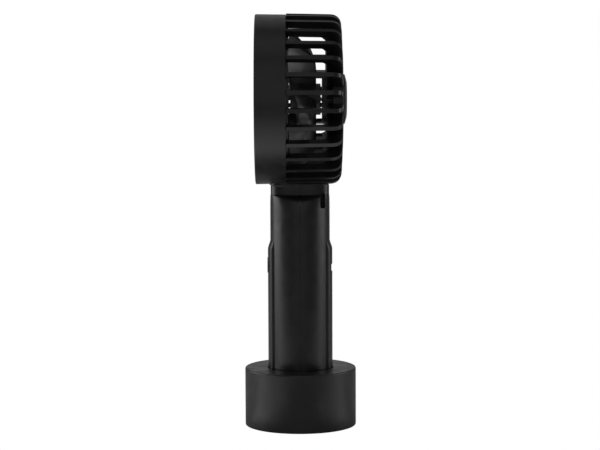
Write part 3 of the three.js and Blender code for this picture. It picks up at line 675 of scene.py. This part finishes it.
def bottom_cap():
    low, high = bottom_low.z, bottom_high.z
    radius = bottom_high.x
    spigot = HANDLE_RADIUS - SHELL_WALL - GAP
    outline = [
        (0, low, 0),
        (radius, low, 0.8),
        (radius, low + 1.2, 0.2),
        (spigot, low + 1.2, 0.1),
        (spigot, high, 0.3),
        (0, high, 0),
    ]
    return shade(turned("fine_bottom_cap", outline, SIDES["round"], "z"))


def panel_loop(z, side, lift):
    """A section of a trim panel. lift runs from 1, where it stands proud, to 0 at the handle's surface."""
    half, top_gap, under_gap = PANEL_HALF_WIDTH, 0.06, 0.02
    rise = PANEL_CROWN - PANEL_EDGE
    face_radius = (half * half + rise * rise) / (2 * rise)
    steps = 24
    corner = 0.55
    top = []
    for i in range(steps + 1):
        x = half * (1 - 2 * i / steps)
        proud = PANEL_CROWN - face_radius + math.sqrt(face_radius**2 - x**2)
        base = math.sqrt((HANDLE_RADIUS + top_gap) ** 2 - x**2)
        inset = max(0, abs(x) - (half - corner))
        drop = corner - math.sqrt(max(corner**2 - inset**2, 0))
        top.append((x, base + (proud - drop - base) * lift + top_gap * (1 - lift)))
    under = []
    for i in range(steps, -1, -1):
        x = half * (1 - 2 * i / steps)
        under.append((x, math.sqrt((HANDLE_RADIUS + under_gap) ** 2 - x**2)))
    return [(x, side * y, z) for x, y in top + under]


def panel(name, side):
    """A trim panel, upright along most of its length and sloping into the handle at its top."""
    low, high = panel_low.z, panel_high.z
    slope_start, steps = PANEL_CHAMFER - 0.6, 8
    rows = [(low, 1), (low + 20, 1), (low + 45, 1), (low + 70, 1), (PANEL_CHAMFER - 1.2, 1)]
    for i in range(1, steps + 1):
        part = i / steps
        eased = part * part * (3 - 2 * part)
        height = slope_start + (high - slope_start) * part
        rows.append((height, 1 - (0.35 * eased + 0.65 * part)))
    return loft(name, [panel_loop(z, side, lift) for z, lift in rows])


def front_panel():
    body = panel("fine_front_panel", -1)
    button = rod("hole_button", 4.95, -20, -12, SIDES["round"], "y", (0, BUTTON_Z))
    guide = rod("hole_guide", 1.15, -20, -12, SIDES["small"], "y", (0, GUIDE_Z))
    cut(body, button, guide)
    return shade(soften(body, 0.14, 2, 50))


def rear_panel():
    body = panel("fine_rear_panel", 1)
    half, tall, corner = 4.3, 2.15, 0.9
    corners = [(-half, -tall, corner), (half, -tall, corner), (half, tall, corner), (-half, tall, corner)]
    outline = rounded(corners, True, 6)
    port = loft("port", [[(x, y, USB_Z + z) for x, z in outline] for y in (10, 20)])
    cut(body, port)
    return shade(soften(body, 0.14, 2, 50))


def power_button():
    flange, flange_front, flange_rear, stem = button_high.x, -14.1, -13.3, 1.6
    radius, front, rear = flange - 0.5, button_low.y, button_high.y
    outline = [
        (0, front + 0.14, 0),
        (radius * 0.55, front + 0.1, 1.2),
        (radius - 0.45, front, 0.4),
        (radius, front + 0.5, 0.3),
        (radius, flange_front, 0),
        (flange, flange_front, 0.1),
        (flange, flange_rear, 0.1),
        (stem, flange_rear, 0.2),
        (stem, rear, 0.2),
        (0, rear, 0),
    ]
    return shade(turned("fine_power_button", outline, SIDES["round"], "y", at=(0, BUTTON_Z)))


def light_guide():
    radius, front, rear = guide_high.x, guide_low.y, guide_high.y
    outline = [
        (0, front, 0),
        (radius * 0.6, front + 0.05, 0.3),
        (radius, front + 0.35, 0.2),
        (radius, rear, 0.1),
        (0, rear, 0),
    ]
    return shade(turned("fine_light_guide", outline, SIDES["small"], "y", at=(0, GUIDE_Z)))


def usb_outline(half, tall, corner):
    """The charging socket's five-sided outline: narrower along its lower edge."""
    lower = half * 0.76
    return [
        (-lower, -tall, corner),
        (lower, -tall, corner),
        (half, -tall * 0.2, corner),
        (half, tall, corner),
        (-half, tall, corner),
        (-half, -tall * 0.2, corner),
    ]


def usb_shell():
    half, tall = usb_high.x, (usb_high.z - usb_low.z) / 2
    front, rear = usb_low.y, usb_high.y
    wall, depth = 0.32, 6.5
    outside = rounded(usb_outline(half, tall, 0.45), True, 4)
    inside = rounded(usb_outline(half - wall, tall - wall, 0.3), True, 4)
    shell = loft("fine_usb_shell", [[(x, y, USB_Z + z) for x, z in outside] for y in (front, rear)])
    hollow = loft("usb_hollow", [[(x, y, USB_Z + z) for x, z in inside] for y in (rear - depth, rear + 1)])
    return shade(cut(shell, hollow))


def usb_tongue():
    low, high, edge = tongue_low, tongue_high, 0.1
    corners = [(low.x, low.z, edge), (high.x, low.z, edge), (high.x, high.z, edge), (low.x, high.z, edge)]
    outline = rounded(corners, True, 3)
    return shade(loft("fine_usb_tongue", [[(x, y, z) for x, z in outline] for y in (low.y, high.y)]))


# ---- Rear cage ----


def bar_outline(inner):
    """A cage bar seen square on: back along the side, then in across the rear as a deep vane."""
    foot = SPLIT + 0.05
    rim_rear = CAGE_REAR - 0.9
    return rounded(
        [
            (41.9, foot, 0),
            (CAGE_RADIUS, foot, 0.15),
            (CAGE_RADIUS - 0.6, rim_rear, 6.5),
            (inner, CAGE_REAR, 0),
            (inner, VANE_FRONT, 0),
            (39.4, VANE_FRONT, 1.5),
            (CAGE_RADIUS - 4.3, 12.2, 1.5),
            (CAGE_RADIUS - 3.8, -6.3, 0),
        ],
        True,
        7,
    )


def cage_bar(name, inner, angle, thickness=2.2):
    outline = bar_outline(inner)
    half = thickness / 2
    bar = loft(name, [[(x, y, HEAD_Z + radius) for radius, y in outline] for x in (-half, half)])
    soften(bar, 0.35, 3, 50)
    return about_head(bar, angle)


def duct_hollows():
    """The room for the motor's leads inside the bottom bar."""
    half, front, side_inner = 2.1, 3.5, HEAD_Z - 40
    return [
        block("duct_rear", (-half, 13.4, HEAD_Z - 40.6), (half, CAGE_REAR - 0.9, HEAD_Z - 11.7)),
        block("duct_side", (-half, front, HEAD_Z - 44.9), (half, 18.2, side_inner)),
        block("duct_mouth", (-half, front, HEAD_Z - 48), (half, 9.5, side_inner)),
    ]


def square_ring(name, inner, outer, front, rear, edges, sides):
    """A ring round the head's axis. edges rounds its inner front, outer front, outer rear and inner rear."""
    corners = [(inner, front), (outer, front), (outer, rear), (inner, rear)]
    outline = [(radius, y, edge) for (radius, y), edge in zip(corners, edges)]
    return turned(name, outline, sides, closed=True)


def hub_cup():
    """The cup behind the hub, which holds the motor."""
    front, wall, front_wall, shaft_hole = 12, 0.8, 1.6, 3.4
    outline = [
        (shaft_hole, front, 0.2),
        (CUP_RADIUS, front, 0.5),
        (CUP_RADIUS, CAGE_REAR, 0.1),
        (CUP_RADIUS - wall, CAGE_REAR, 0.1),
        (CUP_RADIUS - wall, front + front_wall, 0.1),
        (shaft_hole, front + front_wall, 0.1),
    ]
    return turned("hub_cup", outline, SIDES["round"], closed=True)


def cage_bars():
    """Every second bar runs in to the hub, and the others end at the middle ring."""
    hub_end, ring_end = CUP_RADIUS - 0.4, 24.9
    bars = [cage_bar("duct_bar", hub_end, 180, 6)]
    for i in range(CAGE_BARS):
        if i != CAGE_BARS / 2:
            bars.append(cage_bar(f"bar_{i}", hub_end if i % 2 else ring_end, 360 / CAGE_BARS * i))
    return bars


def rear_cage():
    edges = (0.3, 0.3, 0.2, 0.2)
    spigot = square_ring("fine_rear_cage", 41.2, SPIGOT_RADIUS, SPIGOT_FRONT, -6, edges, SIDES["head"])
    middle = square_ring("mid_ring", 24.6, 26.8, 17.4, CAGE_REAR, (0.4, 0.4, 0.4, 0.4), SIDES["round"])
    cup = hub_cup()
    bars = cage_bars()
    lugs = lug_set("cage_lug", -11.6, -5.6, 42.2)
    holes = lug_holes("cage_hole", -13, -6.6)
    cage = join(spigot, middle, cup, *bars, *lugs)
    return shade(cut(cage, *duct_hollows(), *holes))


def hub_cover():
    rear, spigot = cover_high.y, 12.1
    outline = [
        (0, cover_low.y, 0),
        (spigot, cover_low.y, 0.1),
        (spigot, CAGE_REAR + GAP, 0.1),
        (CUP_RADIUS, CAGE_REAR + GAP, 0.2),
        (CUP_RADIUS, rear - 1.2, 0.6),
        (CUP_RADIUS * 0.7, rear - 0.1, 6),
        (0, rear, 0),
    ]
    return shade(turned("fine_hub_cover", outline, SIDES["round"], steps=6))


# ---- Front grille ----


def grille_spoke(name, angle):
    """A spoke that curves round as it runs from the hub to the rim."""
    steps, sweep, half = 14, 28, 0.6
    inner, outer = 9, grille_high.x - 1.1
    front, rear, rear_half = -22.9, -20.8, half * 0.7
    corners = [(-half, front, 0.4), (half, front, 0.4), (rear_half, rear, 0.2), (-rear_half, rear, 0.2)]
    section = rounded(corners, True, 3)
    loops = []
    for i in range(steps + 1):
        part = i / steps
        radius = inner + (outer - inner) * part
        lean = math.radians(sweep * part * part)
        loop = []
        for across, y in section:
            turn = lean + across / radius
            loop.append((radius * math.sin(turn), y, HEAD_Z + radius * math.cos(turn)))
        loops.append(loop)
    return about_head(loft(name, loops), angle)


def grille_hub(front, rear):
    """The grille's middle, with a shallow seat for its cap."""
    seat, radius = 8.9, 10
    outline = [
        (0, front + 1, 0),
        (seat, front + 1, 0),
        (seat, front, 0.2),
        (radius, front, 0.5),
        (radius, rear, 0.3),
        (0, rear, 0),
    ]
    return turned("grille_hub", outline, SIDES["round"])


def front_grille():
    radius, front, rear, spokes = grille_high.x, grille_low.y, grille_high.y, 24
    rim_edges, ring_edges = (0.7, 0.6, 0.2, 0.3), (0.35, 0.35, 0.2, 0.2)
    rim = square_ring("fine_front_grille", radius - 2.2, radius, front, rear, rim_edges, SIDES["head"])
    ring = square_ring("grille_ring", 25.45, 26.55, -22.6, -21.1, ring_edges, SIDES["head"])
    hub = grille_hub(front, rear)
    curved = [grille_spoke(f"spoke_{i}", 360 / spokes * i) for i in range(spokes)]
    return shade(join(rim, ring, hub, *curved))


def grille_cap():
    radius, front, rear = cap_high.x, cap_low.y, cap_high.y
    outline = [
        (0, front, 0),
        (radius * 0.55, front + 0.08, 2),
        (radius - 0.5, front + 0.3, 0.5),
        (radius, front + 0.75, 0.2),
        (radius, rear, 0.1),
        (0, rear, 0),
    ]
    return shade(turned("fine_grille_cap", outline, SIDES["round"]))


# ---- Impeller ----

# Stations from hub to tip: radius, front edge, rear edge, degrees spanned, degrees of the middle.
BLADE_STATIONS = [
    (7.4, -3.6, 8.6, 44, 0),
    (14, -5.4, 8.6, 50, 3),
    (21, -6, 8.5, 52, 7),
    (27, -6, 7.6, 51, 12),
    (32, -5.6, 5.4, 47, 18),
    (35.4, -4.6, 1.6, 36, 24),
    (37, -3.4, -1, 14, 30),
]


def smooth_stations(per_span):
    """The stations with more between them, on a curve through them all."""
    rows = []
    count = len(BLADE_STATIONS)
    for i in range(count - 1):
        around = [BLADE_STATIONS[min(max(i + k, 0), count - 1)] for k in (-1, 0, 1, 2)]
        for step in range(per_span):
            rows.append(curve_through(around, step / per_span))
    rows.append(BLADE_STATIONS[-1])
    return rows


def curve_through(around, t):
    """A point between the middle two of four rows, on a smooth curve through them."""
    values = []
    for before, start, end, after in zip(*around):
        slope = end - before
        bend = 2 * before - 5 * start + 4 * end - after
        twist = 3 * start - before - 3 * end + after
        values.append(0.5 * (2 * start + slope * t + bend * t * t + twist * t**3))
    return tuple(values)


def blade_side(station, side):
    """One face of a blade at a station, from its leading edge to its trailing edge."""
    camber, half_thick, steps = 1.1, 0.6, 14
    radius, front, rear, span, middle = station
    line = []
    for i in range(steps + 1):
        part = i / steps
        turn = math.radians(middle + span * (part - 0.5))
        thick = math.sin(math.pi * min(max(part, 0.04), 0.96)) ** 0.5
        offset = side * half_thick * (0.25 + 0.75 * thick)
        y = front + (rear - front) * part + camber * math.sin(math.pi * part) + offset
        line.append((radius * math.sin(turn), y, HEAD_Z + radius * math.cos(turn)))
    return line


def blade(name, angle):
    loops = []
    for station in smooth_stations(4):
        loops.append(blade_side(station, -1) + blade_side(station, 1)[::-1])
    return about_head(loft(name, loops), angle)


def impeller():
    radius, front, rear, blades = 8.4, -5, 11.3, 5
    outline = [(0, front, 0), (radius, front, 3), (radius, rear, 0.4), (0, rear, 0)]
    hub = turned("fine_impeller", outline, SIDES["round"], steps=8)
    body = join(hub, *[blade(f"blade_{i}", 360 / blades * i) for i in range(blades)])
    return shade(cut(body, rod("bore", 1.3, -3.3, 14, SIDES["small"])), 40)


# ---- All the pieces ----


def fit(piece, node, body, slot):
    """Puts a finished piece in place of its CAD node, with the finish of its slot."""
    piece.data.materials.clear()
    piece.data.materials.append(looks[slot])
    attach(piece, body)
    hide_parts(node)


fit(base_cup(), "base_cup", "base", "base_black")
fit(base_plate(), "base_plate", "base", "base_black")
fit(foot_ring(), "base_foot_ring", "base", "rubber_black")
for number in (1, 2, 3):
    base_screw = f"base_screw_{number}"
    fit(screw(base_screw, (0, 0, 1)), base_screw, "base", "steel")

fit(front_shell(), "front_shell", "fan", "shell_black")
fit(rear_shell(), "rear_shell", "fan", "shell_black")
fit(bottom_cap(), "bottom_cap", "fan", "shell_black")
fit(front_panel(), "front_panel", "fan", "panel_black")
fit(rear_panel(), "rear_panel", "fan", "panel_black")
fit(light_guide(), "light_guide", "fan", "lens_clear")
fit(usb_shell(), "usb_shell", "fan", "steel")
fit(usb_tongue(), "usb_tongue", "fan", "insulator_black")
fit(rear_cage(), "rear_cage", "fan", "grille_black")
fit(hub_cover(), "hub_cover", "fan", "grille_black")
for number in (1, 2, 3, 4):
    cage_screw = f"cage_screw_{number}"
    fit(screw(cage_screw, (0, 1, 0)), cage_screw, "fan", "steel")

fit(power_button(), "power_button", "power_button", "button_black")
fit(front_grille(), "front_grille", "front_grille", "grille_black")
fit(grille_cap(), "grille_cap", "front_grille", "panel_black")
fit(impeller(), "impeller", "impeller", "blade_black")

# The CAD pieces that stay get the finish that the record names for them.
slots = {entry["node"]: entry["material_slot"] for entry in frame["record"]["subparts"]}
for node, piece in frame["nodes"].items():
    for entry in piece.material_slots:
        entry.material = looks[slots[node]]

# ---- Stage, light and camera ----


def seen_white(nodes, links, rest, output, kind):
    """Shows pure white to the camera, and keeps the shader called rest for everything else."""
    path = nodes.new("ShaderNodeLightPath")
    mix = nodes.new("ShaderNodeMixShader")
    white = nodes.new(kind)
    white.inputs["Color"].default_value = (1, 1, 1, 1)
    white.inputs["Strength"].default_value = 1
    links.new(path.outputs["Is Camera Ray"], mix.inputs["Fac"])
    links.new(rest.outputs[0], mix.inputs[1])
    links.new(white.outputs[0], mix.inputs[2])
    links.new(mix.outputs["Shader"], output.inputs["Surface"])


def floor():
    """A pale floor that the picture shows as white."""
    radius, sides = 2.2, 64
    turns = [2 * math.pi * i / sides for i in range(sides)]
    ring = [(radius * math.cos(turn), radius * math.sin(turn), 0) for turn in turns]
    mesh = bpy.data.meshes.new("floor")
    mesh.from_pydata(ring, [], [tuple(range(sides))])
    sheet = bpy.data.objects.new("floor", mesh)
    bpy.context.scene.collection.objects.link(sheet)
    material, nodes, links, shader = node_material("floor_white")
    shader.inputs["Base Color"].default_value = (0.6, 0.6, 0.6, 1)
    shader.inputs["Roughness"].default_value = 0.9
    seen_white(nodes, links, shader, nodes["Material Output"], "ShaderNodeEmission")
    mesh.materials.append(material)


def softbox(name, position, target, size, power, spread=180):
    """A soft rectangular light that the camera doesn't see. Sizes are in metres and power in watts."""
    light = bpy.data.lights.new(name, "AREA")
    light.shape = "RECTANGLE"
    light.size, light.size_y = size
    light.energy = power
    light.spread = math.radians(spread)
    lamp = bpy.data.objects.new(name, light)
    bpy.context.scene.collection.objects.link(lamp)
    lamp.location = position
    lamp.rotation_euler = (Vector(target) - Vector(position)).to_track_quat("-Z", "Y").to_euler()
    lamp.visible_camera = False


def card(name, middle, size, power, spread=180):
    """A bright card lying on the floor."""
    x, y = middle
    just_above_floor = 0.002
    softbox(name, (x, y, just_above_floor), (x, y, 1), size, power, spread)


def around(angle, distance, height):
    """A place at an angle from the camera's side, positive towards the rear of the fan."""
    turn = math.radians(angle)
    return (distance * math.cos(turn), distance * math.sin(turn), height)


def studio():
    middle = (0, 0, 0.12)
    softbox("left_box", around(-100, 0.62, 0.26), middle, (0.5, 0.5), 1.7)
    softbox("right_box", around(93, 0.62, 0.26), middle, (0.4, 0.5), 1)
    softbox("back_box", (-0.74, 0, 0.77), (0, 0, 0.1), (1, 1), 0.62)
    softbox("low_back_box", (-0.7, 0, 0.13), (0, 0, 0.03), (0.6, 0.2), 0.13)
    softbox("front_box", (1.4, 0, 0.75), middle, (1.4, 1.8), 2.2)
    softbox("top_box", (0.25, 0, 1.3), middle, (0.8, 0.7), 0.5)
    card("front_card", (0.27, 0), (0.4, 0.5), 0.28, 140)
    card("left_card", (0.07, -0.22), (0.13, 0.36), 0.13)
    card("right_card", (0.07, 0.22), (0.13, 0.36), 0.08)
    world = bpy.data.worlds.new("studio")
    bpy.context.scene.world = world
    world.use_nodes = True
    nodes, links = world.node_tree.nodes, world.node_tree.links
    dim = nodes["Background"]
    dim.inputs["Color"].default_value = (1, 1, 1, 1)
    dim.inputs["Strength"].default_value = 0.11
    seen_white(nodes, links, dim, nodes["World Output"], "ShaderNodeBackground")


def camera():
    """On the +X side, level with the upper part of the head, tilted down."""
    distance, height, tilt, roll = 1.071, 0.2085, 5.3, -0.22
    lens = bpy.data.cameras.new("camera")
    lens.lens = 119.6
    lens.sensor_width = 36
    eye = bpy.data.objects.new("camera", lens)
    bpy.context.scene.collection.objects.link(eye)
    stand = Matrix.Translation((distance, 0, height)) @ Matrix.Rotation(math.radians(90), 4, "Z")
    tip = Matrix.Rotation(math.radians(90 - tilt), 4, "X") @ Matrix.Rotation(math.radians(roll), 4, "Z")
    eye.matrix_world = stand @ tip
    bpy.context.scene.camera = eye


floor()
studio()
camera()
bpy.context.scene.view_settings.view_transform = "Standard"
